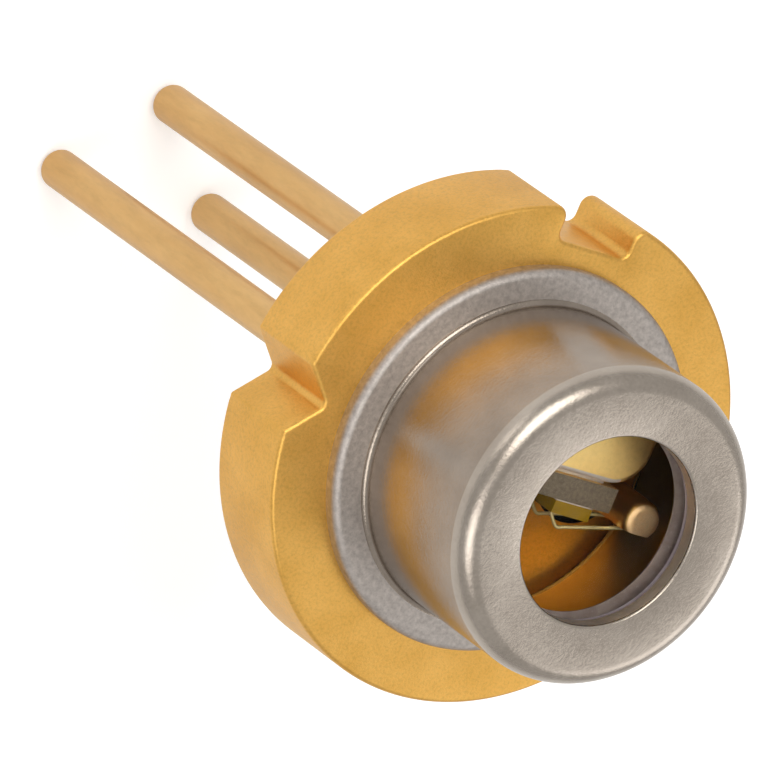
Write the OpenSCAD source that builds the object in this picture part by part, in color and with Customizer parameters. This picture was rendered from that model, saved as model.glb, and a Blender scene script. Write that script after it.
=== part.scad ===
// Laser diode in a 5.6 mm metal can: a notched, gold-plated stem with three leads, the
// laser chip on its heat sink, a monitor photodiode, and a welded cap with a window.
// The beam leaves along +Z. Z = 0 is the stem's front face, the reference plane that
// the diode is located by. The index notch is towards +Y, the V notches are at -X and +X.

/* [Stem] */
// Diameter of the stem
stem_d = 5.6; // [5.2:0.1:6.4]
// Thickness of the stem
stem_h = 1.15; // [0.9:0.05:1.6]
// Radius of the stem's rounded front and back edges
stem_edge = 0.07; // [0.03:0.01:0.12]
// Depth of the two V notches, down to their rounded bottoms
v_notch_depth = 0.37; // [0.25:0.01:0.4]
// Angle between the two sides of a V notch
v_notch_angle = 90; // [75:5:100]
// Radius at the bottom of a V notch
v_notch_root = 0.08; // [0.04:0.01:0.12]
// Width of the index notch
index_w = 0.92; // [0.7:0.02:1.2]
// Depth of the index notch
index_depth = 0.41; // [0.3:0.01:0.46]
// Radius of the index notch's inner corners
index_root = 0.1; // [0.05:0.01:0.15]
// Radius of the index notch's outer corners
index_lip = 0.13; // [0.05:0.01:0.18]

/* [Leads] */
// Diameter of the leads
lead_d = 0.44; // [0.36:0.01:0.5]
// Diameter of the circle that the leads stand on
lead_circle_d = 2.08; // [1.9:0.02:2.3]
// Length of the leads behind the stem
lead_out = 6.92; // [3:0.1:12]
// Radius of the rounded lead tips
lead_tip = 0.12; // [0.05:0.01:0.17]
// Distance of the laser lead's inner end below the light-emitting point
laser_post_drop = 0.07; // [0:0.01:0.3]
// Height of the monitor lead's inner end above the stem
monitor_post_h = 0.45; // [0.3:0.05:0.7]
// Radius of the rounded inner ends
post_edge = 0.07; // [0.03:0.01:0.1]
// Distance of the laser lead's bonding flat from the lead's axis
bond_flat = 0.14; // [0.11:0.01:0.16]
// Length of the bonding flat
bond_flat_l = 0.85; // [0.8:0.05:1]
// Diameter of the glass seals round the insulated leads
lead_seal_d = 1; // [0.8:0.02:1.1]
// Hollow of the glass between a lead and the stem
lead_seal_sag = 0.05; // [0.02:0.01:0.08]
// Height of the braze fillet round the root of the common lead
braze_h = 0.12; // [0.06:0.01:0.2]

/* [Heat sink] */
// Height of the light-emitting point above the stem's front face
emit_h = 1.33; // [1.25:0.01:1.5]
// Width of the heat sink
sink_w = 1.52; // [1.3:0.02:1.6]
// Radius of the heat sink's upright front corners
sink_corner = 0.4; // [0.2:0.05:0.5]
// Radius of the heat sink's rounded top edge
sink_edge = 0.08; // [0.03:0.01:0.15]
// Gap between the back of the heat sink and the cap
sink_gap = 0.14; // [0.08:0.01:0.3]

/* [Submount] */
// Width of the submount
submount_w = 1.04; // [0.8:0.02:1.1]
// Thickness of the submount
submount_t = 0.27; // [0.15:0.01:0.35]
// Gap between the submount's lower end and the stem
submount_foot = 0.18; // [0.05:0.01:0.25]
// Thickness of the solder behind the submount
submount_solder_t = 0.03; // [0.01:0.005:0.05]

/* [Laser chip] */
// Width of the laser chip
chip_w = 0.48; // [0.3:0.02:0.6]
// Thickness of the laser chip
chip_t = 0.14; // [0.08:0.01:0.16]
// Length of the laser chip along the beam
chip_l = 1; // [0.7:0.05:1.05]
// Distance of the laser stripe from the middle of the chip's width
stripe_offset = 0.065; // [0:0.005:0.12]
// Thickness of the solder under the chip
chip_solder_t = 0.01; // [0.005:0.001:0.02]

/* [Monitor photodiode] */
// Side of the square photodiode
monitor_w = 0.5; // [0.4:0.02:0.56]
// Thickness of the photodiode
monitor_t = 0.18; // [0.1:0.01:0.22]
// Thickness of the solder under the photodiode
monitor_solder_t = 0.02; // [0.01:0.005:0.03]
// Depth of the tilted pocket that the photodiode lies in
pocket_depth = 0.12; // [0.08:0.01:0.2]
// Tilt of the pocket's floor
pocket_tilt = 10; // [0:1:12]
// Clearance round the photodiode in its pocket
pocket_gap = 0.09; // [0.05:0.01:0.12]

/* [Bond wires] */
// Diameter of the bond wires
wire_d = 0.038; // [0.025:0.001:0.05]
// Distance between the two wires of the laser chip
wire_pitch = 0.37; // [0.2:0.01:0.45]
// Height of a wire's loop above the face that it starts from
wire_rise = 0.2; // [0.12:0.01:0.25]
// Diameter of the flattened bonds at the ends of a wire
bond_d = 0.1; // [0.07:0.005:0.12]
// Height of the flattened bonds
bond_h = 0.03; // [0.02:0.002:0.04]

/* [Cap] */
// Diameter of the cap's welded flange
flange_d = 4.3; // [4.1:0.05:4.5]
// Thickness of the flange
flange_t = 0.2; // [0.12:0.01:0.25]
// Radius of the flange's rounded outer edge
flange_edge = 0.09; // [0.03:0.01:0.1]
// Depth that the flange is welded into the stem
weld_sink = 0.02; // [0.01:0.005:0.04]
// Outer diameter of the cap
cap_d = 3.54; // [3.4:0.02:3.7]
// Thickness of the cap's side wall
cap_wall = 0.2; // [0.12:0.01:0.22]
// Thickness of the cap's front wall
front_t = 0.18; // [0.12:0.01:0.25]
// Radius of the cap's rounded front corner
cap_corner = 0.23; // [0.22:0.01:0.35]
// Radius of the fillet between the cap and its flange
cap_foot = 0.06; // [0.03:0.01:0.1]
// Diameter of the window hole
hole_d = 2.11; // [1.6:0.01:2.3]
// Radius of the window hole's rounded edge
hole_edge = 0.03; // [0.01:0.005:0.05]

/* [Window] */
// Clear distance between the laser chip and the window
window_clear = 0.32; // [0.2:0.01:0.8]
// Thickness of the window glass
glass_t = 0.25; // [0.15:0.01:0.3]
// Gap between the edge of the window glass and the cap, filled by the seal
glass_gap = 0.22; // [0.1:0.01:0.25]
// Thickness of the seal between the cap's front wall and the window glass
window_seal_t = 0.08; // [0.04:0.01:0.12]
// Height of the seal's lip below the window glass
seal_lip = 0.05; // [0.03:0.01:0.1]
// Width of the ring that the seal leaves clear inside the hole's edge
seal_setback = 0.02; // [0.01:0.01:0.05]

/* [Hidden] */

$fn = 96;
// Overlap that lets a cut run clear of the face it starts from
cut = 0.05;
wire_sides = 8;
wire_steps = 4;

stem_r = stem_d / 2;
lead_r = lead_d / 2;
lead_x = lead_circle_d / 2;
lead_seal_r = lead_seal_d / 2;
wire_r = wire_d / 2;
bond_r = bond_d / 2;

// Cap and window, from the stem upwards
flange_r = flange_d / 2;
flange_top = flange_t - weld_sink;
cap_r = cap_d / 2;
bore_r = cap_r - cap_wall;
hole_r = hole_d / 2;
glass_low = emit_h + window_clear;
glass_high = glass_low + glass_t;
front_low = glass_high + window_seal_t;
cap_h = front_low + front_t;
flare_r = cap_foot + flange_top;
glass_r = bore_r - glass_gap;
seal_r = hole_r + seal_setback;

// Chip, submount and heat sink stand in a row along +Y, from the active side of the chip
chip_x = stripe_offset;
submount_y = chip_solder_t;
solder_y = submount_y + submount_t;
sink_y = solder_y + submount_solder_t;
sink_back_r = bore_r - sink_gap;
laser_post_h = emit_h - laser_post_drop;

// The photodiode lies clear in front of the submount, below the chip's rear facet
pocket_w = monitor_w + 2 * pocket_gap;
pocket_y = submount_y - pocket_w / 2;

// ---- Outlines and solids that several parts share ----

// What a convex corner at the origin loses when it is rounded. The solid is at -x, -y.
module corner_cut(r) {
    difference() {
        translate([-r, -r]) square(r + cut);
        translate([-r, -r]) circle(r);
    }
}

// What a concave corner at the origin gains when it is filleted. The fillet is at +x, +y.
module corner_fill(r) {
    difference() {
        square(r);
        translate([r, r]) circle(r);
    }
}

// Upright round bar from z = low to z = high. An end is rounded where its edge is over 0.
module round_bar(r, low, high, low_edge, high_edge) {
    rotate_extrude()
        difference() {
            translate([0, low]) square([r, high - low]);
            if (high_edge > 0)
                translate([r, high]) corner_cut(high_edge);
            if (low_edge > 0)
                translate([r, low]) mirror([0, 1]) corner_cut(low_edge);
        }
}

// ---- Stem ----

// A V notch cut into the rim at -X, with its rounded bottom on the circle of bottom_r
module v_notch() {
    half = v_notch_angle / 2;
    bottom_r = stem_r - v_notch_depth;
    centre_x = -bottom_r - v_notch_root;
    side = stem_r / 2;
    touch = [centre_x + v_notch_root * sin(half), v_notch_root * cos(half)];
    reach = [touch.x - side * cos(half), touch.y + side * sin(half)];
    translate([centre_x, 0]) circle(v_notch_root);
    polygon([touch, reach, [reach.x, -reach.y], [touch.x, -touch.y]]);
}

// The index notch, with rounded inner corners and rounded lips where it meets the rim
module index_notch() {
    half = index_w / 2;
    floor_y = stem_r - index_depth;
    lip = [half + index_lip, sqrt(pow(stem_r - index_lip, 2) - pow(half + index_lip, 2))];
    lip_end = lip * stem_r / (stem_r - index_lip);
    difference() {
        translate([-half, floor_y]) square([index_w, index_depth + cut]);
        for (side = [0, 1])
            mirror([side, 0]) translate([-half, floor_y]) corner_fill(index_root);
    }
    for (side = [0, 1])
        mirror([side, 0])
            difference() {
                polygon([[half - cut, lip.y], lip, lip_end, lip_end * 1.05, [half - cut, stem_r * 1.05]]);
                translate(lip) circle(index_lip);
            }
}

module at_photodiode() {
    translate([0, pocket_y, -pocket_depth]) rotate([pocket_tilt, 0, 0]) children();
}

module stem_base() {
    color([0.87, 0.63, 0.24])
        difference() {
            round_bar(stem_r, -stem_h, 0, stem_edge, stem_edge);
            translate([0, 0, -stem_h - cut]) linear_extrude(stem_h + 2 * cut) {
                v_notch();
                mirror([1, 0]) v_notch();
                index_notch();
            }
            for (side = [-1, 1])
                translate([side * lead_x, 0, -stem_h - cut])
                    cylinder(r = lead_seal_r, h = stem_h + 2 * cut);
            rotate_extrude()
                translate([bore_r + flare_r, -weld_sink])
                    square([flange_r - bore_r - flare_r, weld_sink + cut]);
            at_photodiode()
                translate([-pocket_w / 2, -pocket_w / 2, 0])
                    cube([pocket_w, pocket_w, pocket_depth * 3]);
        }
}

// ---- Leads and their seals ----

module laser_lead() {
    color([0.82, 0.64, 0.36])
        difference() {
            translate([lead_x, 0, 0])
                round_bar(lead_r, -stem_h - lead_out, laser_post_h, lead_tip, post_edge);
            translate([lead_x - lead_d, -bond_flat - lead_d, laser_post_h - bond_flat_l])
                cube([2 * lead_d, lead_d, bond_flat_l + cut]);
        }
}

module monitor_lead() {
    color([0.82, 0.64, 0.36])
        translate([-lead_x, 0, 0])
            round_bar(lead_r, -stem_h - lead_out, monitor_post_h, lead_tip, post_edge);
}

module common_lead() {
    color([0.82, 0.64, 0.36])
        translate([0, lead_x, 0])
            round_bar(lead_r, -stem_h - lead_out, -stem_h, lead_tip, 0);
}

// A ring of glass round a lead, hollowed by its own surface tension at both ends
module lead_seal() {
    gap = lead_seal_r - lead_r;
    hollow_r = (pow(gap / 2, 2) + pow(lead_seal_sag, 2)) / (2 * lead_seal_sag);
    rotate_extrude()
        difference() {
            translate([lead_r, -stem_h]) square([gap, stem_h]);
            translate([lead_r + gap / 2, hollow_r - lead_seal_sag]) circle(hollow_r);
            translate([lead_r + gap / 2, -stem_h - hollow_r + lead_seal_sag]) circle(hollow_r);
        }
}

module laser_lead_seal() {
    color([0.12, 0.13, 0.16]) translate([lead_x, 0, 0]) lead_seal();
}

module monitor_lead_seal() {
    color([0.12, 0.13, 0.16]) translate([-lead_x, 0, 0]) lead_seal();
}

module common_lead_braze() {
    color([0.84, 0.66, 0.38])
        translate([0, lead_x, -stem_h])
            rotate_extrude()
                translate([lead_r, 0]) mirror([0, 1]) corner_fill(braze_h);
}

// ---- Heat sink, submount and laser chip ----

// Section of a block of the width w, with its two top edges rounded
module topped_section(w, h, edge) {
    difference() {
        translate([-w / 2, 0]) square([w, h]);
        translate([w / 2, h]) corner_cut(edge);
        translate([-w / 2, h]) mirror([1, 0]) corner_cut(edge);
    }
}

module heat_sink() {
    post_x = sink_w / 2 - sink_corner;
    post_y = sink_y + sink_corner;
    color([0.93, 0.76, 0.42])
        intersection() {
            round_bar(sink_back_r, 0, emit_h, 0, sink_edge);
            union() {
                for (side = [-1, 1])
                    translate([side * post_x, post_y, 0])
                        round_bar(sink_corner, 0, emit_h, 0, sink_edge);
                translate([0, stem_r, 0]) rotate([90, 0, 0])
                    linear_extrude(stem_r - post_y) topped_section(sink_w, emit_h, sink_edge);
                translate([-post_x, stem_r, 0]) rotate([90, 0, 90])
                    linear_extrude(2 * post_x)
                        topped_section(2 * (stem_r - sink_y), emit_h, sink_edge);
            }
        }
}

module submount() {
    color([0.5, 0.45, 0.46])
        translate([-submount_w / 2, submount_y, submount_foot])
            cube([submount_w, submount_t, emit_h - submount_foot]);
}

module submount_solder() {
    flat_w = sink_w - 2 * sink_corner;
    low = submount_foot;
    color([0.74, 0.72, 0.78])
        translate([-flat_w / 2, solder_y, low])
            cube([flat_w, submount_solder_t, emit_h - sink_edge - low]);
}

module laser_chip() {
    color([0.64, 0.5, 0.1])
        translate([chip_x - chip_w / 2, -chip_t, emit_h - chip_l])
            cube([chip_w, chip_t, chip_l]);
}

module chip_solder() {
    color([0.8, 0.72, 0.5])
        translate([chip_x - chip_w / 2, 0, emit_h - chip_l])
            cube([chip_w, chip_solder_t, chip_l]);
}

// ---- Monitor photodiode ----

module photodiode_solder() {
    color([0.74, 0.72, 0.72])
        at_photodiode()
            translate([-monitor_w / 2, -monitor_w / 2, 0])
                cube([monitor_w, monitor_w, monitor_solder_t]);
}

module photodiode() {
    color([0.25, 0.27, 0.35])
        at_photodiode()
            translate([-monitor_w / 2, -monitor_w / 2, monitor_solder_t])
                cube([monitor_w, monitor_w, monitor_t]);
}

// ---- Bond wires ----

// Point at the share t of the curve between b and c, which also leans on a and d
function curve_point(a, b, c, d, t) =
    (2 * b + (c - a) * t + (2 * a - 5 * b + 4 * c - d) * t * t
     + (3 * b - a - 3 * c + d) * t * t * t) / 2;

// Smooth path through a list of points
function smooth_path(p) = [
    for (i = [0 : len(p) - 2], s = [0 : wire_steps - 1])
        curve_point(p[max(i - 1, 0)], p[i], p[i + 1], p[min(i + 2, len(p) - 1)], s / wire_steps),
    p[len(p) - 1]
];

// A wire that follows a path in its own XY plane
module wire_along(path) {
    count = len(path);
    rings = [
        for (i = [0 : count - 1])
            let (along = path[min(i + 1, count - 1)] - path[max(i - 1, 0)],
                 across = [-along.y, along.x] / norm(along))
                for (s = [0 : wire_sides - 1])
                    let (a = 360 * (s + 0.5) / wire_sides)
                        [path[i].x + wire_r * cos(a) * across.x,
                         path[i].y + wire_r * cos(a) * across.y,
                         wire_r * sin(a)]
    ];
    walls = [
        for (i = [0 : count - 2], s = [0 : wire_sides - 1])
            let (next = (s + 1) % wire_sides)
                each [[i * wire_sides + s, i * wire_sides + next, (i + 1) * wire_sides + next],
                      [i * wire_sides + s, (i + 1) * wire_sides + next, (i + 1) * wire_sides + s]]
    ];
    first = [for (s = [wire_sides - 1 : -1 : 0]) s];
    last = [for (s = [0 : wire_sides - 1]) (count - 1) * wire_sides + s];
    polyhedron(points = rings, faces = concat([first], walls, [last]));
}

// A loop that rises straight from its first bond at the origin and comes down flat on
// its second bond at the point end, both on faces that look along +Y
function wire_loop(end) =
    let (top = max(end.y, 0) + wire_rise, drop = top - end.y)
        smooth_path([
            [0, bond_h / 2],
            [0, top * 0.55],
            [wire_rise * 0.25, top * 0.9],
            [wire_rise * 0.85, top],
            [end.x * 0.6, end.y + drop * 0.7],
            [end.x - wire_rise, end.y + drop * 0.3],
            [end.x - bond_r, end.y + wire_r * 1.6],
            [end.x, end.y + wire_r * 1.1]
        ]);

// A flattened bond on a face that looks along +Y
module bond() {
    rotate([-90, 0, 0]) cylinder(r = bond_r, h = bond_h);
}

// One wire from the chip's free face to the flat of the laser lead, at the height z
module laser_wire(z) {
    end = [lead_x - chip_x, bond_flat - chip_t];
    color([0.93, 0.78, 0.4])
        translate([chip_x, -chip_t, z]) mirror([0, 1, 0]) {
            wire_along(wire_loop(end));
            bond();
            translate(end) bond();
        }
}

module laser_wire_front() {
    laser_wire(emit_h - chip_l / 2 + wire_pitch / 2);
}

module laser_wire_rear() {
    laser_wire(emit_h - chip_l / 2 - wire_pitch / 2);
}

// The wire from the photodiode's pad up to the end of the monitor lead
module photodiode_wire() {
    top = monitor_solder_t + monitor_t;
    start = [0, pocket_y - top * sin(pocket_tilt), top * cos(pocket_tilt) - pocket_depth];
    end = [-lead_x, 0, monitor_post_h];
    run = norm([end.x - start.x, end.y - start.y]);
    heading = atan2(end.y - start.y, end.x - start.x);
    color([0.93, 0.78, 0.4]) {
        translate(start) rotate([0, 0, heading]) rotate([90, 0, 0])
            wire_along(wire_loop([run, end.z - start.z]));
        at_photodiode() translate([0, 0, top]) cylinder(r = bond_r, h = bond_h);
        translate(end) cylinder(r = bond_r, h = bond_h);
    }
}

// ---- Cap and window ----

module cap() {
    color([0.66, 0.62, 0.59])
        rotate_extrude()
            difference() {
                union() {
                    translate([0, -weld_sink]) square([flange_r, flange_t]);
                    translate([0, -weld_sink]) square([cap_r, cap_h + weld_sink]);
                    translate([cap_r, flange_top]) corner_fill(cap_foot);
                }
                translate([flange_r, flange_top]) corner_cut(flange_edge);
                translate([cap_r, cap_h]) corner_cut(cap_corner);
                translate([0, -weld_sink - cut]) square([bore_r, front_low + weld_sink + cut]);
                translate([bore_r - cut, -weld_sink - cut])
                    square([flare_r + cut, weld_sink + cut]);
                translate([bore_r, 0]) corner_fill(flare_r);
                translate([0, front_low - cut]) square([hole_r, front_t + 2 * cut]);
                translate([hole_r, cap_h]) mirror([1, 0]) corner_cut(hole_edge);
            }
}

module window_glass() {
    color([0.75, 0.72, 0.6, 0.35])
        translate([0, 0, glass_low]) cylinder(r = glass_r, h = glass_t);
}

// Solder glass that fills the corner of the cap and holds the window all round
module window_seal() {
    color([0.45, 0.4, 0.42])
        rotate_extrude()
            difference() {
                translate([seal_r, glass_low - seal_lip])
                    square([bore_r - seal_r, front_low - glass_low + seal_lip]);
                translate([0, glass_low]) square([glass_r, glass_t]);
                translate([seal_r, glass_low - seal_lip]) mirror([1, 0]) mirror([0, 1])
                    corner_cut(seal_lip * 0.8);
            }
}

stem_base();
heat_sink();
laser_lead();
monitor_lead();
common_lead();
laser_lead_seal();
monitor_lead_seal();
common_lead_braze();
submount();
submount_solder();
laser_chip();
chip_solder();
photodiode();
photodiode_solder();
laser_wire_front();
laser_wire_rear();
photodiode_wire();
cap();
window_seal();
window_glass();
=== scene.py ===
import math

import bmesh
import bpy
from mathutils import Matrix, Vector


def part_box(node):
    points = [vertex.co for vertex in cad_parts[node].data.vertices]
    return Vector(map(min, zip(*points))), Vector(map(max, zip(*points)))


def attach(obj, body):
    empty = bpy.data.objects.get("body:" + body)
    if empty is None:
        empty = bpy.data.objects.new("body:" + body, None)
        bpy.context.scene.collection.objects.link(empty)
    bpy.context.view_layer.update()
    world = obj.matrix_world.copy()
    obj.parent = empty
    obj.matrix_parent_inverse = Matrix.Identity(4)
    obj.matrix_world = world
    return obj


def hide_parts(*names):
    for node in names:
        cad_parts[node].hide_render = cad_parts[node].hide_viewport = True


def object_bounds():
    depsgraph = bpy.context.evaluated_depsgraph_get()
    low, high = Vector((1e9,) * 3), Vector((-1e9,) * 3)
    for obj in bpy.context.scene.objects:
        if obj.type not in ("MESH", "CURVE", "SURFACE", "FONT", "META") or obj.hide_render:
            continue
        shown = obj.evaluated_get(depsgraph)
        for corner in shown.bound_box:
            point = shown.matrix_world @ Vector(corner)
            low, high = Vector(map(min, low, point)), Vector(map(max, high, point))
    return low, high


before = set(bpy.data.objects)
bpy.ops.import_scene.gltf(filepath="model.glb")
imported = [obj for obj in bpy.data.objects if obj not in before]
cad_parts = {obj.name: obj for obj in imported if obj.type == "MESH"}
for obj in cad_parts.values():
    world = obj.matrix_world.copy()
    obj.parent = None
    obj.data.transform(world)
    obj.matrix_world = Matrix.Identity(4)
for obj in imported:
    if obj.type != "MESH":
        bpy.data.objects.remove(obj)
cadLow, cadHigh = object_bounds()
mm = 0.001
tiny = 1e-9  # metres; places closer than this count as one
weld = 2e-8  # metres; points closer than this are merged
print("frame loaded:", len(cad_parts), "solids")


# Camera and lamps

cameraView = {
    "lens": 700,
    "location": (-95.15, 26.953, 124.452),
    "turn": (-24.5457, -29.9364, 26.5697),
}
cameraData = bpy.data.cameras.new("camera")
cameraData.lens = cameraView["lens"]
cameraData.sensor_width = 36
cameraData.clip_start = 0.01
cameraData.clip_end = 10
camera = bpy.data.objects.new("camera", cameraData)
camera.location = Vector(cameraView["location"]) * mm
camera.rotation_euler = [math.radians(a) for a in cameraView["turn"]]
bpy.context.scene.collection.objects.link(camera)
bpy.context.scene.camera = camera
bpy.context.scene.view_settings.view_transform = "Standard"

# place, size and brightness of each soft box, all aimed at the middle of the can
lamps = {
    "softTop": {"place": (-40, 60, 110), "size": 90, "power": 0.072, "colour": (1.0, 0.98, 0.95)},
    "softSide": {"place": (-120, 60, 15), "size": 70, "power": 0.014, "colour": (1.0, 0.99, 0.97)},
    "softFront": {"place": (-60, -60, 105), "size": 80, "power": 0.035, "colour": (1.0, 0.99, 0.98)},
    "softRight": {"place": (110, -40, 70), "size": 80, "power": 0.02, "colour": (1.0, 1.0, 1.0)},
}


def addLamp(name, lamp):
    data = bpy.data.lights.new(name, "AREA")
    data.shape = "DISK"
    data.size = lamp["size"] * mm
    data.energy = lamp["power"]
    data.color = lamp["colour"]
    lampObject = bpy.data.objects.new(name, data)
    lampObject.location = Vector(lamp["place"]) * mm
    lampObject.rotation_euler = lampObject.location.to_track_quat("Z", "Y").to_euler()
    bpy.context.scene.collection.objects.link(lampObject)


for lampName, lamp in lamps.items():
    addLamp(lampName, lamp)


# Materials

def newMaterial(name):
    material = bpy.data.materials.new(name)
    material.use_nodes = True
    return material, material.node_tree.nodes, material.node_tree.links


def millimetres(nodes, links, stretch=(1, 1, 1)):
    # object coordinates in millimetres, stretched along an axis where a finish has a direction
    place = nodes.new("ShaderNodeTexCoord")
    scaled = nodes.new("ShaderNodeMapping")
    scaled.inputs["Scale"].default_value = [s / mm for s in stretch]
    links.new(place.outputs["Object"], scaled.inputs["Vector"])
    return scaled.outputs["Vector"]


def noise(nodes, links, vector, scale, detail=4, roughness=0.6):
    grain = nodes.new("ShaderNodeTexNoise")
    grain.inputs["Scale"].default_value = scale
    grain.inputs["Detail"].default_value = detail
    grain.inputs["Roughness"].default_value = roughness
    links.new(vector, grain.inputs["Vector"])
    return grain.outputs["Fac"]


def ramp(nodes, links, value, stops):
    # stops = [(position, colour), ...]; a plain number stands for a grey
    colours = nodes.new("ShaderNodeValToRGB")
    elements = colours.color_ramp.elements
    while len(elements) < len(stops):
        elements.new(0.5)
    for element, (position, colour) in zip(elements, stops):
        element.position = position
        if not isinstance(colour, tuple):
            colour = (colour, colour, colour)
        element.color = (*colour, 1)
    links.new(value, colours.inputs["Fac"])
    return colours.outputs["Color"]


def bump(nodes, links, height, depth, under=None):
    # depth is the height of the relief in millimetres
    relief = nodes.new("ShaderNodeBump")
    relief.inputs["Distance"].default_value = depth * mm
    links.new(height, relief.inputs["Height"])
    if under is not None:
        links.new(under, relief.inputs["Normal"])
    return relief.outputs["Normal"]


def platedMetal(name, finish):
    # metal with slow patches of colour, fine specks, and grain in gloss and relief
    material, nodes, links = newMaterial(name)
    shader = nodes["Principled BSDF"]
    shader.inputs["Metallic"].default_value = finish.get("metallic", 1)
    vector = millimetres(nodes, links, finish.get("stretch", (1, 1, 1)))
    patches = noise(nodes, links, vector, finish["patchScale"], 5, 0.6)
    grain = noise(nodes, links, vector, finish["grainScale"], 6, 0.7)
    speckled = nodes.new("ShaderNodeMix")
    speckled.data_type = "RGBA"
    speckled.blend_type = "MULTIPLY"
    speckled.inputs["Factor"].default_value = 1
    links.new(ramp(nodes, links, patches, finish["colours"]), speckled.inputs["A"])
    specks = ramp(nodes, links, grain, [(0.3, finish.get("speckle", 0.9)), (0.55, 1.0)])
    links.new(specks, speckled.inputs["B"])
    links.new(speckled.outputs["Result"], shader.inputs["Base Color"])
    links.new(ramp(nodes, links, grain, finish["gloss"]), shader.inputs["Roughness"])
    links.new(bump(nodes, links, grain, finish["relief"]), shader.inputs["Normal"])
    return material


goldPlate = platedMetal("goldPlate", {
    "patchScale": 1.6, "grainScale": 28, "relief": 0.004,
    "colours": [(0.3, (0.76, 0.42, 0.09)), (0.7, (0.88, 0.51, 0.13))],
    "gloss": [(0.3, 0.34), (0.75, 0.48)], "speckle": 0.8,
})
leadPlate = platedMetal("leadPlate", {
    "patchScale": 2, "grainScale": 14, "relief": 0.003, "stretch": (1, 1, 0.25),
    "colours": [(0.3, (0.70, 0.43, 0.17)), (0.7, (0.86, 0.57, 0.25))],
    "gloss": [(0.3, 0.3), (0.75, 0.42)],
})
brightGold = platedMetal("brightGold", {
    "patchScale": 1.5, "grainScale": 18, "relief": 0.0015,
    "colours": [(0.3, (0.96, 0.70, 0.31)), (0.7, (1.0, 0.78, 0.37))],
    "gloss": [(0.3, 0.34), (0.75, 0.44)],
})
# painted highlight: paler than gold and only partly metallic, so the wires, and the chip's and photodiode's
# metal faces that share it, show a painted glint
paintedGlintGold = platedMetal("paintedGlintGold", {
    "patchScale": 4, "grainScale": 40, "relief": 0.0005,
    "colours": [(0.3, (1.0, 0.88, 0.48)), (0.7, (1.0, 0.93, 0.58))],
    "gloss": [(0.3, 0.2), (0.75, 0.3)], "metallic": 0.45,
})
# painted highlight: a paler gold than the lead's own plating, which paints in the bright spot of light on
# the laser lead's inner end
postGoldPaintedHighlight = platedMetal("postGoldPaintedHighlight", {
    "patchScale": 5, "grainScale": 30, "relief": 0.003,
    "colours": [(0.3, (0.96, 0.68, 0.42)), (0.7, (1.0, 0.78, 0.54))],
    "gloss": [(0.3, 0.5), (0.75, 0.65)],
})
capSteel = platedMetal("capSteel", {
    "patchScale": 1.4, "grainScale": 26, "relief": 0.003,
    "colours": [(0.3, (0.42, 0.365, 0.31)), (0.7, (0.52, 0.46, 0.395))],
    "gloss": [(0.3, 0.17), (0.75, 0.27)],
})
flangeSteel = platedMetal("flangeSteel", {
    "patchScale": 16, "grainScale": 40, "relief": 0.004,
    "colours": [(0.35, (0.43, 0.39, 0.36)), (0.65, (0.57, 0.52, 0.48))],
    "gloss": [(0.3, 0.42), (0.75, 0.58)], "speckle": 0.82,
})
punchedSteel = platedMetal("punchedSteel", {
    "patchScale": 6, "grainScale": 30, "relief": 0.003,
    "colours": [(0.3, (0.76, 0.69, 0.63)), (0.7, (0.88, 0.81, 0.75))],
    "gloss": [(0.3, 0.42), (0.75, 0.56)],
})
# painted reflection: the inside of the cap is the same steel; its gold-brown colour paints in the gold stem
# reflected there
capInsidePaintedReflection = platedMetal("capInsidePaintedReflection", {
    "patchScale": 1.4, "grainScale": 20, "relief": 0.001,
    "colours": [(0.3, (0.42, 0.26, 0.07)), (0.7, (0.54, 0.35, 0.11))],
    "gloss": [(0.3, 0.28), (0.75, 0.4)],
})
# painted shade: a darker copy of the cap steel for the cylinder wall below the front corner; the whole cap
# is one steel
wallSteelPaintedShade = platedMetal("wallSteelPaintedShade", {
    "patchScale": 1.4, "grainScale": 26, "relief": 0.003,
    "colours": [(0.3, (0.32, 0.27, 0.225)), (0.7, (0.42, 0.355, 0.295))],
    "gloss": [(0.3, 0.12), (0.75, 0.22)],
})
solderMetal = platedMetal("solderMetal", {
    "patchScale": 3, "grainScale": 30, "relief": 0.002,
    "colours": [(0.3, (0.60, 0.57, 0.64)), (0.7, (0.74, 0.70, 0.77))],
    "gloss": [(0.3, 0.3), (0.75, 0.5)], "metallic": 0.4,
})


def ceramicLike(name, finish):
    # matt or glossy non-metal with mottled colour and fine relief
    material, nodes, links = newMaterial(name)
    shader = nodes["Principled BSDF"]
    shader.inputs["Specular IOR Level"].default_value = finish.get("specular", 0.5)
    vector = millimetres(nodes, links)
    patches = noise(nodes, links, vector, finish["patchScale"], 5, 0.65)
    grain = noise(nodes, links, vector, finish["grainScale"], 5, 0.7)
    links.new(ramp(nodes, links, patches, finish["colours"]), shader.inputs["Base Color"])
    links.new(ramp(nodes, links, grain, finish["gloss"]), shader.inputs["Roughness"])
    links.new(bump(nodes, links, grain, finish["relief"]), shader.inputs["Normal"])
    return material


submountCeramic = ceramicLike("submountCeramic", {
    "patchScale": 28, "grainScale": 40, "relief": 0.002,
    "colours": [(0.35, (0.12, 0.098, 0.082)), (0.65, (0.2, 0.162, 0.135))],
    "gloss": [(0.3, 0.45), (0.7, 0.6)],
})
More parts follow.
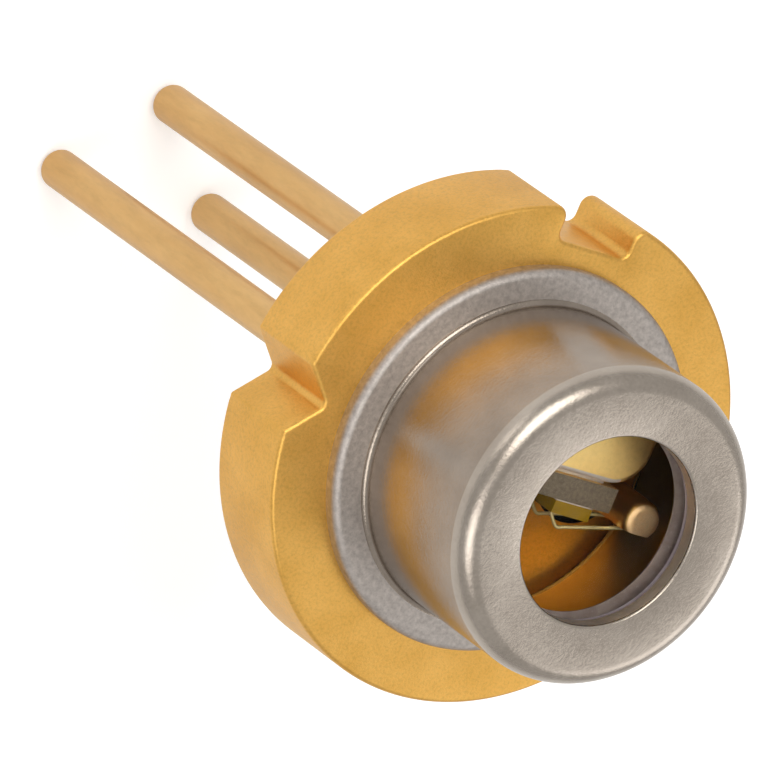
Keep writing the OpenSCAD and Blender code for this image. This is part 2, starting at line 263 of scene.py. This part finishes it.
# painted reflection: the crystal is clear, and its mustard colour paints in the gold seen through it
laserCrystal = ceramicLike("laserCrystal", {
    "patchScale": 8, "grainScale": 30, "relief": 0.0003, "specular": 0.3,
    "colours": [(0.3, (0.23, 0.14, 0.004)), (0.7, (0.31, 0.19, 0.008))],
    "gloss": [(0.3, 0.12), (0.7, 0.2)],
})
silicon = ceramicLike("silicon", {
    "patchScale": 8, "grainScale": 30, "relief": 0.0003, "specular": 0.8,
    "colours": [(0.3, (0.03, 0.035, 0.06)), (0.7, (0.05, 0.055, 0.09))],
    "gloss": [(0.3, 0.08), (0.7, 0.14)],
})
leadGlass = ceramicLike("leadGlass", {
    "patchScale": 5, "grainScale": 12, "relief": 0.002, "specular": 0.5,
    "colours": [(0.3, (0.008, 0.011, 0.016)), (0.7, (0.016, 0.02, 0.028))],
    "gloss": [(0.3, 0.08), (0.7, 0.2)],
})
sealGlass = ceramicLike("sealGlass", {
    "patchScale": 4, "grainScale": 16, "relief": 0.003, "specular": 0.6,
    "colours": [(0.3, (0.29, 0.24, 0.27)), (0.7, (0.44, 0.38, 0.41))],
    "gloss": [(0.3, 0.12), (0.7, 0.3)],
})


# the index is lower than that of uncoated glass: a coating takes nearly all the reflection away
coatedGlass = {
    "index": 1.1, "patchScale": 2.5,
    "colours": [(0.3, (0.98, 0.94, 0.82)), (0.7, (1, 0.97, 0.88))],
    "gloss": [(0.4, 0.0), (0.8, 0.02)],
}


def clearGlass(name, finish):
    # see-through, with a faint warm tint and uneven gloss
    material, nodes, links = newMaterial(name)
    shader = nodes["Principled BSDF"]
    shader.inputs["IOR"].default_value = finish["index"]
    shader.inputs["Transmission Weight"].default_value = 1
    haze = noise(nodes, links, millimetres(nodes, links), finish["patchScale"], 4, 0.6)
    links.new(ramp(nodes, links, haze, finish["colours"]), shader.inputs["Base Color"])
    links.new(ramp(nodes, links, haze, finish["gloss"]), shader.inputs["Roughness"])
    return material


windowGlass = clearGlass("windowGlass", coatedGlass)
print("materials made")


# Shared steps of modelling

turnSteps, roundSteps = 192, 64  # sides of a round on the can, and on a lead


def outlineFace(bm, points, rounds):
    # flat outline in the XZ plane; rounds = {number of a rounded corner: (radius, segments)}
    corners = [bm.verts.new((x * mm, 0, z * mm)) for x, z in points]
    bm.faces.new(corners)
    for corner, (radius, segments) in rounds.items():
        bmesh.ops.bevel(bm, geom=[corners[corner]], affect="VERTICES", offset=radius * mm,
                        offset_type="OFFSET", segments=segments, profile=0.5, material=-1)


def raiseOutline(bm, height):
    # makes a solid of that height from a flat outline
    made = bmesh.ops.extrude_face_region(bm, geom=bm.faces[:])
    moved = [v for v in made["geom"] if isinstance(v, bmesh.types.BMVert)]
    bmesh.ops.translate(bm, verts=moved, vec=(0, 0, height * mm))
    bmesh.ops.recalc_face_normals(bm, faces=bm.faces[:])


def isLevel(edge):
    return abs(edge.verts[0].co.z - edge.verts[1].co.z) < tiny


def roundEdges(bm, edges, radius, segments):
    bmesh.ops.bevel(bm, geom=edges, affect="EDGES", offset=radius * mm, offset_type="OFFSET",
                    segments=segments, profile=0.5, material=-1)


def boxMatrix(centre, size):
    return Matrix.Translation(centre) @ Matrix.Diagonal((*size, 1))


def turnOutline(bm, steps=turnSteps):
    # spins an outline about Z; edges that lie on the axis are dropped first
    bmesh.ops.delete(bm, geom=bm.faces[:], context="FACES_ONLY")
    onAxis = [e for e in bm.edges if all(abs(v.co.x) < tiny for v in e.verts)]
    bmesh.ops.delete(bm, geom=onAxis, context="EDGES")
    bmesh.ops.spin(bm, geom=bm.verts[:] + bm.edges[:], cent=(0, 0, 0), axis=(0, 0, 1),
                   angle=2 * math.pi, steps=steps, use_merge=True, use_duplicate=False)
    bmesh.ops.remove_doubles(bm, verts=bm.verts[:], dist=weld)
    bmesh.ops.dissolve_degenerate(bm, edges=bm.edges[:], dist=tiny)


def arc(bm, centre, radius, start, end, steps):
    # an open arc in the XY plane, in degrees; gives its first and last vertex
    angle = math.radians(start)
    x, y = centre[0] + radius * math.cos(angle), centre[1] + radius * math.sin(angle)
    first = bm.verts.new((x * mm, y * mm, 0))
    made = bmesh.ops.spin(bm, geom=[first], cent=(centre[0] * mm, centre[1] * mm, 0), axis=(0, 0, 1),
                          angle=math.radians(end - start), steps=steps, use_merge=False,
                          use_duplicate=False)
    return first, made["geom_last"][0]


def joinArcs(bm, arcs):
    # straight edges from the end of each arc to the start of the next
    for before, after in zip(arcs, arcs[1:]):
        if (before[1].co - after[0].co).length > tiny:
            bm.edges.new((before[1], after[0]))


def circleLoop(bm, radius, height, steps, centre=(0, 0)):
    place = Matrix.Translation((centre[0] * mm, centre[1] * mm, height * mm))
    made = bmesh.ops.create_circle(bm, cap_ends=False, radius=radius * mm, segments=steps, matrix=place)
    return list({e for v in made["verts"] for e in v.link_edges})


def bridge(bm, loopA, loopB):
    return bmesh.ops.bridge_loops(bm, edges=loopA + loopB)["faces"]


def finishPiece(bm, name, nodes, materials, sharpAngle=30):
    bmesh.ops.remove_doubles(bm, verts=bm.verts[:], dist=weld)
    bmesh.ops.recalc_face_normals(bm, faces=bm.faces[:])
    mesh = bpy.data.meshes.new(name)
    bm.to_mesh(mesh)
    bm.free()
    for face in mesh.polygons:
        face.use_smooth = True
    mesh.set_sharp_from_angle(angle=math.radians(sharpAngle))
    for material in materials:
        mesh.materials.append(material)
    piece = bpy.data.objects.new(name, mesh)
    bpy.context.scene.collection.objects.link(piece)
    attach(piece, "root")
    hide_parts(*nodes)
    print("made", name, len(mesh.polygons), "faces")
    return piece


# Stem

stem = {
    "edge": 0.05,
    "vDepth": 0.37, "vRoot": 0.08, "vCorner": 0.05,
    "indexWidth": 0.92, "indexDepth": 0.41, "indexRoot": 0.1, "indexLip": 0.13,
    "sealRadius": 0.5, "leadCircle": 1.04,
    "seatOuter": 2.15, "seatInner": 1.81, "seatDepth": 0.02, "seatSteps": 180,
    "pocketWidth": 0.68, "pocketTilt": 10, "pocketDepth": 0.12, "pocketPlace": -0.33,
}
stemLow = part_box("stem_base")[0]
stemRadius, stemBack = -stemLow[1] / mm, stemLow[2] / mm


def stemOutline(bm):
    # right half of the outline from the bottom up to the index notch, then mirrored
    radius = stemRadius
    root, corner = stem["vRoot"], stem["vCorner"]
    diagonal = math.sqrt(0.5)
    rootX = radius - stem["vDepth"] + root
    tip = rootX - root * math.sqrt(2)  # where the two sides of the V would meet
    # centre of the small round corner between a side of the V and the rim
    sideX, sideY = tip - corner * diagonal, corner * diagonal
    along = -(sideX + sideY) * diagonal
    along += math.sqrt(along ** 2 - (sideX ** 2 + sideY ** 2) + (radius - corner) ** 2)
    cornerX, cornerY = sideX + along * diagonal, sideY + along * diagonal
    cornerAngle = math.degrees(math.atan2(cornerY, cornerX))
    half, lip = stem["indexWidth"] / 2, stem["indexLip"]
    floorY = radius - stem["indexDepth"]
    lipY = math.sqrt((radius - lip) ** 2 - (half + lip) ** 2)
    lipAngle = math.degrees(math.atan2(lipY, half + lip))
    inner = stem["indexRoot"]
    arcs = [
        arc(bm, (0, 0), radius, -90, -cornerAngle, 60),
        arc(bm, (cornerX, -cornerY), corner, -cornerAngle, 45, 5),
        arc(bm, (rootX, 0), root, 225, 135, 8),
        arc(bm, (cornerX, cornerY), corner, -45, cornerAngle, 5),
        arc(bm, (0, 0), radius, cornerAngle, lipAngle, 50),
        arc(bm, (half + lip, lipY), lip, lipAngle, 180, 10),
        arc(bm, (half - inner, floorY + inner), inner, 0, -90, 8),
    ]
    joinArcs(bm, arcs)
    middle = bm.verts.new((0, floorY * mm, 0))
    bm.edges.new((arcs[-1][1], middle))
    bmesh.ops.mirror(bm, geom=bm.verts[:] + bm.edges[:], axis="X", merge_dist=1e-7)
    return bmesh.ops.contextual_create(bm, geom=bm.edges[:])["faces"]


def makeStem():
    bm = bmesh.new()
    stemOutline(bm)
    raiseOutline(bm, stemBack)
    roundEdges(bm, [e for e in bm.edges if isLevel(e)], stem["edge"], 6)
    caps = sorted(bm.faces, key=lambda f: -f.calc_area())[:2]
    back, front = sorted(caps, key=lambda f: f.calc_center_median().z)
    backRim, frontRim = list(back.edges), list(front.edges)
    bmesh.ops.delete(bm, geom=[back, front], context="FACES_ONLY")

    seatLow = -stem["seatDepth"]
    outerTop = circleLoop(bm, stem["seatOuter"], 0, stem["seatSteps"])
    outerLow = circleLoop(bm, stem["seatOuter"], seatLow, stem["seatSteps"])
    innerLow = circleLoop(bm, stem["seatInner"], seatLow, stem["seatSteps"])
    innerTop = circleLoop(bm, stem["seatInner"], 0, stem["seatSteps"])
    bmesh.ops.triangle_fill(bm, use_beauty=True, use_dissolve=False, edges=frontRim + outerTop)
    bridge(bm, outerTop, outerLow)
    bridge(bm, outerLow, innerLow)
    bridge(bm, innerLow, innerTop)

    # pocket of the photodiode: a square hole whose floor is tilted
    halfW = stem["pocketWidth"] / 2
    tilt = math.radians(stem["pocketTilt"])
    mouth, ground = [], []
    for x, y in ((-halfW, -halfW), (halfW, -halfW), (halfW, halfW), (-halfW, halfW)):
        depth = y * math.sin(tilt) - stem["pocketDepth"]
        tilted = stem["pocketPlace"] + y * math.cos(tilt)
        ground.append(bm.verts.new((x * mm, tilted * mm, depth * mm)))
        mouth.append(bm.verts.new((x * mm, tilted * mm, 0)))
    mouthEdges = [bm.edges.new((mouth[i], mouth[(i + 1) % 4])) for i in range(4)]
    groundEdges = [bm.edges.new((ground[i], ground[(i + 1) % 4])) for i in range(4)]
    bm.faces.new(ground)
    bridge(bm, mouthEdges, groundEdges)

    holes, backHoles = [], []
    for side in (-1, 1):
        centre = (side * stem["leadCircle"], 0)
        top = circleLoop(bm, stem["sealRadius"], 0, roundSteps, centre)
        low = circleLoop(bm, stem["sealRadius"], stemBack, roundSteps, centre)
        bridge(bm, top, low)
        holes += top
        backHoles += low
    bmesh.ops.triangle_fill(bm, use_beauty=True, use_dissolve=False, edges=innerTop + holes + mouthEdges)
    bmesh.ops.triangle_fill(bm, use_beauty=True, use_dissolve=False, edges=backRim + backHoles)
    return finishPiece(bm, "stemBody", ["stem_base"], [goldPlate])


makeStem()


# Leads, their glass seals and the braze

# the last entry is how far down the laser lead's top the painted highlight reaches
leads = {
    "radius": 0.22, "tip": 0.12, "post": 0.1, "circle": 1.04,
    "flat": 0.14, "flatLength": 0.85, "paintedHighlight": 0.03,
}


def makeLead(name, node, place, flat=False):
    low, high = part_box(node)
    low, high = low[2] / mm, high[2] / mm
    bm = bmesh.new()
    rounds = {1: (leads["tip"], 8)}
    if high > 0:
        rounds[2] = (leads["post"], 6)
    outlineFace(bm, [(0, low), (leads["radius"], low), (leads["radius"], high), (0, high)], rounds)
    turnOutline(bm, roundSteps)
    if flat:
        cutFlat(bm, high)
        # painted highlight: the very top of the laser lead takes the paler gold
        paintedHighlightFrom = (high - leads["paintedHighlight"]) * mm
        for face in bm.faces:
            face.material_index = int(face.calc_center_median().z > paintedHighlightFrom)
    bmesh.ops.translate(bm, verts=bm.verts[:], vec=(place[0] * mm, place[1] * mm, 0))
    finishPiece(bm, name, [node], [leadPlate, postGoldPaintedHighlight] if flat else [leadPlate])


def cutFlat(bm, high):
    # the bonding flat is cut away in front of a plane, down to a small ledge
    ledge = (high - leads["flatLength"]) * mm
    face = -leads["flat"] * mm
    everything = bm.verts[:] + bm.edges[:] + bm.faces[:]
    bmesh.ops.bisect_plane(bm, geom=everything, plane_co=(0, 0, ledge), plane_no=(0, 0, 1))
    upper = [f for f in bm.faces if f.calc_center_median().z > ledge]
    edges = {e for f in upper for e in f.edges}
    verts = {v for f in upper for v in f.verts}
    inFront = list(verts) + list(edges) + upper
    bmesh.ops.bisect_plane(bm, geom=inFront, plane_co=(0, face, 0), plane_no=(0, -1, 0))
    centres = [(f, f.calc_center_median()) for f in bm.faces]
    away = [f for f, centre in centres if centre.z > ledge and centre.y < face]
    bmesh.ops.delete(bm, geom=away, context="FACES")
    corners = [v for v in bm.verts if abs(v.co.z - ledge) < tiny and abs(v.co.y - face) < tiny]
    bm.edges.new(corners)
    bmesh.ops.holes_fill(bm, edges=[e for e in bm.edges if e.is_boundary or e.is_wire], sides=0)


makeLead("laserLead", "laser_lead", (leads["circle"], 0), flat=True)
makeLead("monitorLead", "monitor_lead", (-leads["circle"], 0))
makeLead("commonLead", "common_lead", (0, leads["circle"]))

seals = {"outer": 0.5, "sag": 0.05}


def makeLeadSeal(name, node, side):
    # ring of glass with a hollow meniscus at both ends
    inner, outer, sag = leads["radius"], seals["outer"], seals["sag"]
    half = (outer - inner) / 2
    bend = (half ** 2 + sag ** 2) / (2 * sag)
    reach = math.degrees(math.asin(half / bend))
    bm = bmesh.new()
    top = arc(bm, (inner + half, bend - sag), bend, 270 - reach, 270 + reach, 12)
    low = arc(bm, (inner + half, stemBack - bend + sag), bend, 90 - reach, 90 + reach, 12)
    joinArcs(bm, [top, low, top])
    bmesh.ops.rotate(bm, verts=bm.verts[:], cent=(0, 0, 0), matrix=Matrix.Rotation(math.radians(90), 3, "X"))
    turnOutline(bm, roundSteps)
    bmesh.ops.translate(bm, verts=bm.verts[:], vec=(side * leads["circle"] * mm, 0, 0))
    finishPiece(bm, name, [node], [leadGlass])


makeLeadSeal("laserLeadSeal", "laser_lead_seal", 1)
makeLeadSeal("monitorLeadSeal", "monitor_lead_seal", -1)


def makeBraze():
    low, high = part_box("common_lead_braze")
    height = (high[2] - low[2]) / mm
    outer = leads["radius"] + height
    bm = bmesh.new()
    hollow = arc(bm, (outer, stemBack - height), height, 90, 180, 10)
    corner = bm.verts.new((leads["radius"] * mm, stemBack * mm, 0))
    bm.edges.new((hollow[1], corner))
    bm.edges.new((corner, hollow[0]))
    bmesh.ops.rotate(bm, verts=bm.verts[:], cent=(0, 0, 0), matrix=Matrix.Rotation(math.radians(90), 3, "X"))
    turnOutline(bm, roundSteps)
    bmesh.ops.translate(bm, verts=bm.verts[:], vec=(0, leads["circle"] * mm, 0))
    finishPiece(bm, "leadBraze", ["common_lead_braze"], [leadPlate])


makeBraze()


# Heat sink, submount and laser chip

sink = {
    "width": 1.52, "corner": 0.4, "edge": 0.08, "front": 0.31, "back": 1.43,
    "lavenderHalfWidth": 0.5, "facing": 0.15,
}


def makeHeatSink():
    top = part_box("heat_sink")[1][2] / mm
    half, corner, back = sink["width"] / 2, sink["corner"], sink["back"]
    backAngle = math.degrees(math.acos(half / back))
    bm = bmesh.new()
    arcs = [
        arc(bm, (-half + corner, sink["front"] + corner), corner, 180, 270, 16),
        arc(bm, (half - corner, sink["front"] + corner), corner, 270, 360, 16),
        arc(bm, (0, 0), back, backAngle, 180 - backAngle, 40),
    ]
    joinArcs(bm, arcs + arcs[:1])
    bmesh.ops.contextual_create(bm, geom=bm.edges[:])
    raiseOutline(bm, top)
    rim = [e for e in bm.edges if isLevel(e) and all(v.co.z > tiny for v in e.verts)]
    roundEdges(bm, rim, sink["edge"], 6)
    bm.normal_update()
    for face in bm.faces:  # the rounded edge behind the submount takes the pale lavender of solderMetal
        centre = face.calc_center_median() / mm
        onEdge = centre.z > top - sink["edge"] and face.normal.y < -sink["facing"]
        if onEdge and abs(centre.x) < sink["lavenderHalfWidth"]:
            face.material_index = 1
    finishPiece(bm, "heatSink", ["heat_sink"], [brightGold, solderMetal])


makeHeatSink()


blockEdges = {"submount": 0.008, "submountSolder": 0.003, "chip": 0.002, "chipSolder": 0.001}


def boxPiece(name, node, materials, edge, paint=None):
    # block that fills a flat solid's box, with slightly broken edges
    # paint picks the faces of the second material
    low, high = [Vector(corner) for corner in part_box(node)]
    bm = bmesh.new()
    bmesh.ops.create_cube(bm, size=1, matrix=boxMatrix((low + high) / 2, high - low))
    if paint is not None:
        for face in bm.faces:
            if paint(face):
                face.material_index = 1
    roundEdges(bm, bm.edges[:], edge, 2)
    return finishPiece(bm, name, [node], materials)


def isBroadSide(face):
    return abs(face.normal.y) > 0.9


def isOpenSide(face):
    return face.normal.y < -0.9


boxPiece("submountBlock", "submount", [submountCeramic, brightGold],
         blockEdges["submount"], isBroadSide)
boxPiece("submountSolder", "submount_solder", [solderMetal], blockEdges["submountSolder"])
boxPiece("laserChip", "laser_chip", [laserCrystal, paintedGlintGold],
         blockEdges["chip"], isOpenSide)
boxPiece("chipSolder", "chip_solder", [solderMetal], blockEdges["chipSolder"])


# Monitor photodiode and bond wires

monitorDie = {
    "width": 0.5, "thickness": 0.18, "solder": 0.02, "edge": 0.004,
    "tilt": 10, "depth": 0.12, "place": -0.33, "pad": 0.06, "sunk": 0.002,
}


def makePhotodiode():
    # tilted die on its solder, with a shallow light-sensitive window framed by its metal edge
    tilted = (Matrix.Translation((0, monitorDie["place"] * mm, -monitorDie["depth"] * mm))
              @ Matrix.Rotation(math.radians(monitorDie["tilt"]), 4, "X"))
    width, solder = monitorDie["width"], monitorDie["solder"]
    layers = (
        ("photodiodeSolder", "photodiode_solder", "solder", solderMetal, 0, solder),
        ("photodiodeDie", "photodiode", "silicon", silicon, solder, monitorDie["thickness"]),
    )
    for name, node, slotName, material, start, thickness in layers:
        bm = bmesh.new()
        middle = (0, 0, (start + thickness / 2) * mm)
        size = (width * mm, width * mm, thickness * mm)
        bmesh.ops.create_cube(bm, size=1, matrix=boxMatrix(middle, size))
        roundEdges(bm, bm.edges[:], monitorDie["edge"], 2)
        if node == "photodiode":
            top = max(bm.faces, key=lambda f: f.calc_center_median().z)
            bmesh.ops.inset_region(bm, faces=[top], thickness=monitorDie["pad"] * mm,
                                   depth=-monitorDie["sunk"] * mm)
            for face in bm.faces:
                if face is not top and face.normal.z > 0.9:
                    face.material_index = 1
        bmesh.ops.transform(bm, matrix=tilted, verts=bm.verts[:])
        finishPiece(bm, name, [node], [material, paintedGlintGold])


makePhotodiode()

wires = {
    "radius": 0.019, "rise": 0.2, "pitch": 0.37, "sides": 16, "steps": 8,
    "bondRadius": 0.05, "bondHeight": 0.03, "bondEdge": 0.02,
}


def curvePoint(a, b, c, d, t):
    # point at the share t of the curve from b to c, which also leans on a and d
    return (2 * b + (c - a) * t + (2 * a - 5 * b + 4 * c - d) * t * t
            + (3 * b - a - 3 * c + d) * t ** 3) / 2


def wireLoop(endX, endY):
    # up from the first bond, leaning towards the second, and straight down to it
    rise, radius, bondHeight = wires["rise"], wires["radius"], wires["bondHeight"]
    top = max(endY, 0) + rise
    peak = Vector((rise * 0.75, top))
    low = Vector((endX - wires["bondRadius"] * 1.5, endY + bondHeight))
    points = [Vector((0, bondHeight / 2)), Vector((0, top * 0.28)), Vector((rise * 0.2, top * 0.53)),
              Vector((rise * 0.45, top * 0.81)), peak, peak.lerp(low, 0.12), peak.lerp(low, 0.6), low,
              Vector((endX, endY + radius * 1.1))]
    smooth = []
    for i in range(len(points) - 1):
        a, b, c, d = [points[min(max(k, 0), len(points) - 1)] for k in (i - 1, i, i + 1, i + 2)]
        smooth += [curvePoint(a, b, c, d, step / wires["steps"]) for step in range(wires["steps"])]
    smooth.append(points[-1])
    return smooth


def makeBond(place, turn):
    width, height = wires["bondRadius"], wires["bondHeight"]
    bm = bmesh.new()
    outlineFace(bm, [(0, 0), (width, 0), (width, height), (0, height)], {2: (wires["bondEdge"], 5)})
    turnOutline(bm, 32)
    moved = Matrix.Translation(Vector(place) * mm) @ turn.to_4x4()
    bmesh.ops.transform(bm, matrix=moved, verts=bm.verts[:])
    bond = bpy.data.meshes.new("bond")
    bm.to_mesh(bond)
    bm.free()
    return bond


def makeWire(name, node, start, end, firstTurn, bondTurns):
    # firstTurn stands the loop's own XY plane up at its first bond
    lift = firstTurn.inverted() @ (Vector(end) - Vector(start))
    path = wireLoop(lift.x, lift.y)
    upright = Matrix.Rotation(math.radians(90), 4, "Y")
    bm = bmesh.new()
    before = None
    for i, point in enumerate(path):
        along = path[min(i + 1, len(path) - 1)] - path[max(i - 1, 0)]
        turn = Matrix.Rotation(math.atan2(along.y, along.x), 4, "Z") @ upright
        spot = Matrix.Translation((point.x * mm, point.y * mm, 0))
        made = bmesh.ops.create_circle(bm, cap_ends=i in (0, len(path) - 1), radius=wires["radius"] * mm,
                                       segments=wires["sides"], matrix=spot @ turn)
        loop = list({e for v in made["verts"] for e in v.link_edges})
        if before:
            bridge(bm, before, loop)
        before = loop
    standing = Matrix.Translation(Vector(start) * mm) @ firstTurn.to_4x4()
    bmesh.ops.transform(bm, matrix=standing, verts=bm.verts[:])
    for place, turn in zip((start, end), bondTurns):
        bond = makeBond(place, turn)
        bm.from_mesh(bond)
        bpy.data.meshes.remove(bond)
    finishPiece(bm, name, [node], [paintedGlintGold])


def makeWires():
    chipLow, chipHigh = [Vector(corner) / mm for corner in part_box("laser_chip")]
    chipX, chipZ = (chipLow.x + chipHigh.x) / 2, (chipLow.z + chipHigh.z) / 2
    facing = Matrix(((1, 0, 0), (0, -1, 0), (0, 0, -1)))  # loop's Y towards -Y, away from the chip
    lying = Matrix.Rotation(math.radians(90), 3, "X")  # bond's Z towards -Y
    laserWires = (("laserWireFront", "laser_wire_front", 1), ("laserWireRear", "laser_wire_rear", -1))
    for name, node, side in laserWires:
        height = chipZ + side * wires["pitch"] / 2
        start, end = (chipX, chipLow.y, height), (leads["circle"], -leads["flat"], height)
        makeWire(name, node, start, end, facing, (lying, lying))

    tilt = math.radians(monitorDie["tilt"])
    top = monitorDie["solder"] + monitorDie["thickness"]
    start = Vector((0, monitorDie["place"] - top * math.sin(tilt),
                    top * math.cos(tilt) - monitorDie["depth"]))
    end = Vector((-leads["circle"], 0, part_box("monitor_lead")[1][2] / mm))
    heading = math.atan2(end.y - start.y, end.x - start.x)
    standing = Matrix.Rotation(heading, 3, "Z") @ Matrix.Rotation(math.radians(90), 3, "X")
    bondTurns = (Matrix.Rotation(tilt, 3, "X"), Matrix.Identity(3))
    makeWire("photodiodeWire", "photodiode_wire", start, end, standing, bondTurns)


makeWires()


# Cap

cap = {
    "radius": 1.77, "bore": 1.57, "front": 0.18, "corner": 0.23, "foot": 0.06, "insideCorner": 0.2,
    "flangeTop": 0.18, "flangeEdge": 0.09, "flare": 0.24, "hole": 1.055, "holeEdge": 0.03,
}
capMaterials = [capSteel, flangeSteel, punchedSteel, capInsidePaintedReflection, wallSteelPaintedShade]


def capFinishAndPaintedShade(reach, height, inside, top):
    # finish of the face at that distance from the axis; the wall below the front corner gets painted shade
    # and the inside a painted gold reflection
    if reach > cap["radius"] + cap["foot"]:
        return flangeSteel
    if reach < cap["hole"] and height > inside:
        return punchedSteel
    # inner wall and ceiling: painted gold reflection
    if reach < cap["bore"] and height < inside + tiny / mm:
        return capInsidePaintedReflection
    return wallSteelPaintedShade if height < top - cap["corner"] else capSteel


def makeCap():
    low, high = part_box("cap")
    foot, top, flange = low[2] / mm, high[2] / mm, high[0] / mm
    inside = top - cap["front"]
    bm = bmesh.new()
    outlineFace(bm, [
        (cap["bore"] + cap["flare"], foot), (flange, foot), (flange, cap["flangeTop"]),
        (cap["radius"], cap["flangeTop"]), (cap["radius"], top), (cap["hole"], top), (cap["hole"], inside),
        (cap["bore"], inside), (cap["bore"], 0), (cap["bore"] + cap["flare"], 0),
    ], {
        2: (cap["flangeEdge"], 8), 3: (cap["foot"], 8), 4: (cap["corner"], 16),
        5: (cap["holeEdge"], 5), 8: (cap["insideCorner"], 8),
    })
    turnOutline(bm)
    for face in bm.faces:
        centre = face.calc_center_median() / mm
        finish = capFinishAndPaintedShade(math.hypot(centre.x, centre.y), centre.z, inside, top)
        face.material_index = capMaterials.index(finish)
    finishPiece(bm, "capShell", ["cap"], capMaterials)


makeCap()


# Window and its seal

window = {"setback": 1.075, "lipEdge": 0.04, "clear": 0.004}


def makeWindow():
    low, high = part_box("window_glass")
    radius, bottom, top = high[0] / mm, low[2] / mm, high[2] / mm
    bm = bmesh.new()
    # a hair's breadth clear of the seal, so that the two surfaces don't lie in one place
    rim, under, over = radius - window["clear"], bottom + window["clear"], top - window["clear"]
    outlineFace(bm, [(0, under), (rim, under), (rim, over), (0, over)], {1: (0.015, 3), 2: (0.015, 3)})
    turnOutline(bm)
    finishPiece(bm, "windowGlass", ["window_glass"], [windowGlass])

    sealLow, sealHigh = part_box("window_seal")
    outer, lip, roof = sealHigh[0] / mm, sealLow[2] / mm, sealHigh[2] / mm
    bm = bmesh.new()
    outlineFace(bm, [
        (window["setback"], lip), (outer, lip), (outer, roof), (window["setback"], roof),
        (window["setback"], top), (radius, top), (radius, bottom), (window["setback"], bottom),
    ], {0: (window["lipEdge"], 6)})
    turnOutline(bm)
    finishPiece(bm, "windowSeal", ["window_seal"], [sealGlass])


makeWindow()
print("can made")


# Floor and background

floorPlate = {"drop": 0.02, "size": 4, "colour": (0.86, 0.86, 0.86), "glow": 0.35}
studio = {"colour": (0.94, 0.93, 0.92), "strength": 0.62}


def makeFloor():
    bm = bmesh.new()
    bmesh.ops.create_grid(bm, x_segments=1, y_segments=1, size=floorPlate["size"],
                          matrix=Matrix.Translation((0, 0, cadLow[2] - floorPlate["drop"] * mm)))
    mesh = bpy.data.meshes.new("floor")
    bm.to_mesh(mesh)
    bm.free()
    material, nodes, links = newMaterial("floorPaint")
    shader = nodes["Principled BSDF"]
    shader.inputs["Roughness"].default_value = 0.9
    shader.inputs["Specular IOR Level"].default_value = 0.0
    shader.inputs["Base Color"].default_value = (*floorPlate["colour"], 1)
    seen = nodes.new("ShaderNodeLightPath")
    anyRay = nodes.new("ShaderNodeMath")
    anyRay.operation = "MAXIMUM"
    links.new(seen.outputs["Is Camera Ray"], anyRay.inputs[0])
    links.new(seen.outputs["Is Transmission Ray"], anyRay.inputs[1])
    glow = nodes.new("ShaderNodeEmission")
    glow.inputs["Strength"].default_value = floorPlate["glow"]
    dark = nodes.new("ShaderNodeEmission")
    dark.inputs["Strength"].default_value = 0
    choose = nodes.new("ShaderNodeMixShader")
    links.new(anyRay.outputs[0], choose.inputs[0])
    links.new(dark.outputs[0], choose.inputs[1])
    links.new(glow.outputs[0], choose.inputs[2])
    total = nodes.new("ShaderNodeAddShader")
    links.new(shader.outputs[0], total.inputs[0])
    links.new(choose.outputs[0], total.inputs[1])
    links.new(total.outputs[0], nodes["Material Output"].inputs["Surface"])
    mesh.materials.append(material)
    floor = bpy.data.objects.new("floor", mesh)
    bpy.context.scene.collection.objects.link(floor)


makeFloor()

world = bpy.data.worlds.new("studio")
bpy.context.scene.world = world
world.use_nodes = True
background = world.node_tree.nodes["Background"]
background.inputs["Color"].default_value = (*studio["colour"], 1)
background.inputs["Strength"].default_value = studio["strength"]

print("stage set")
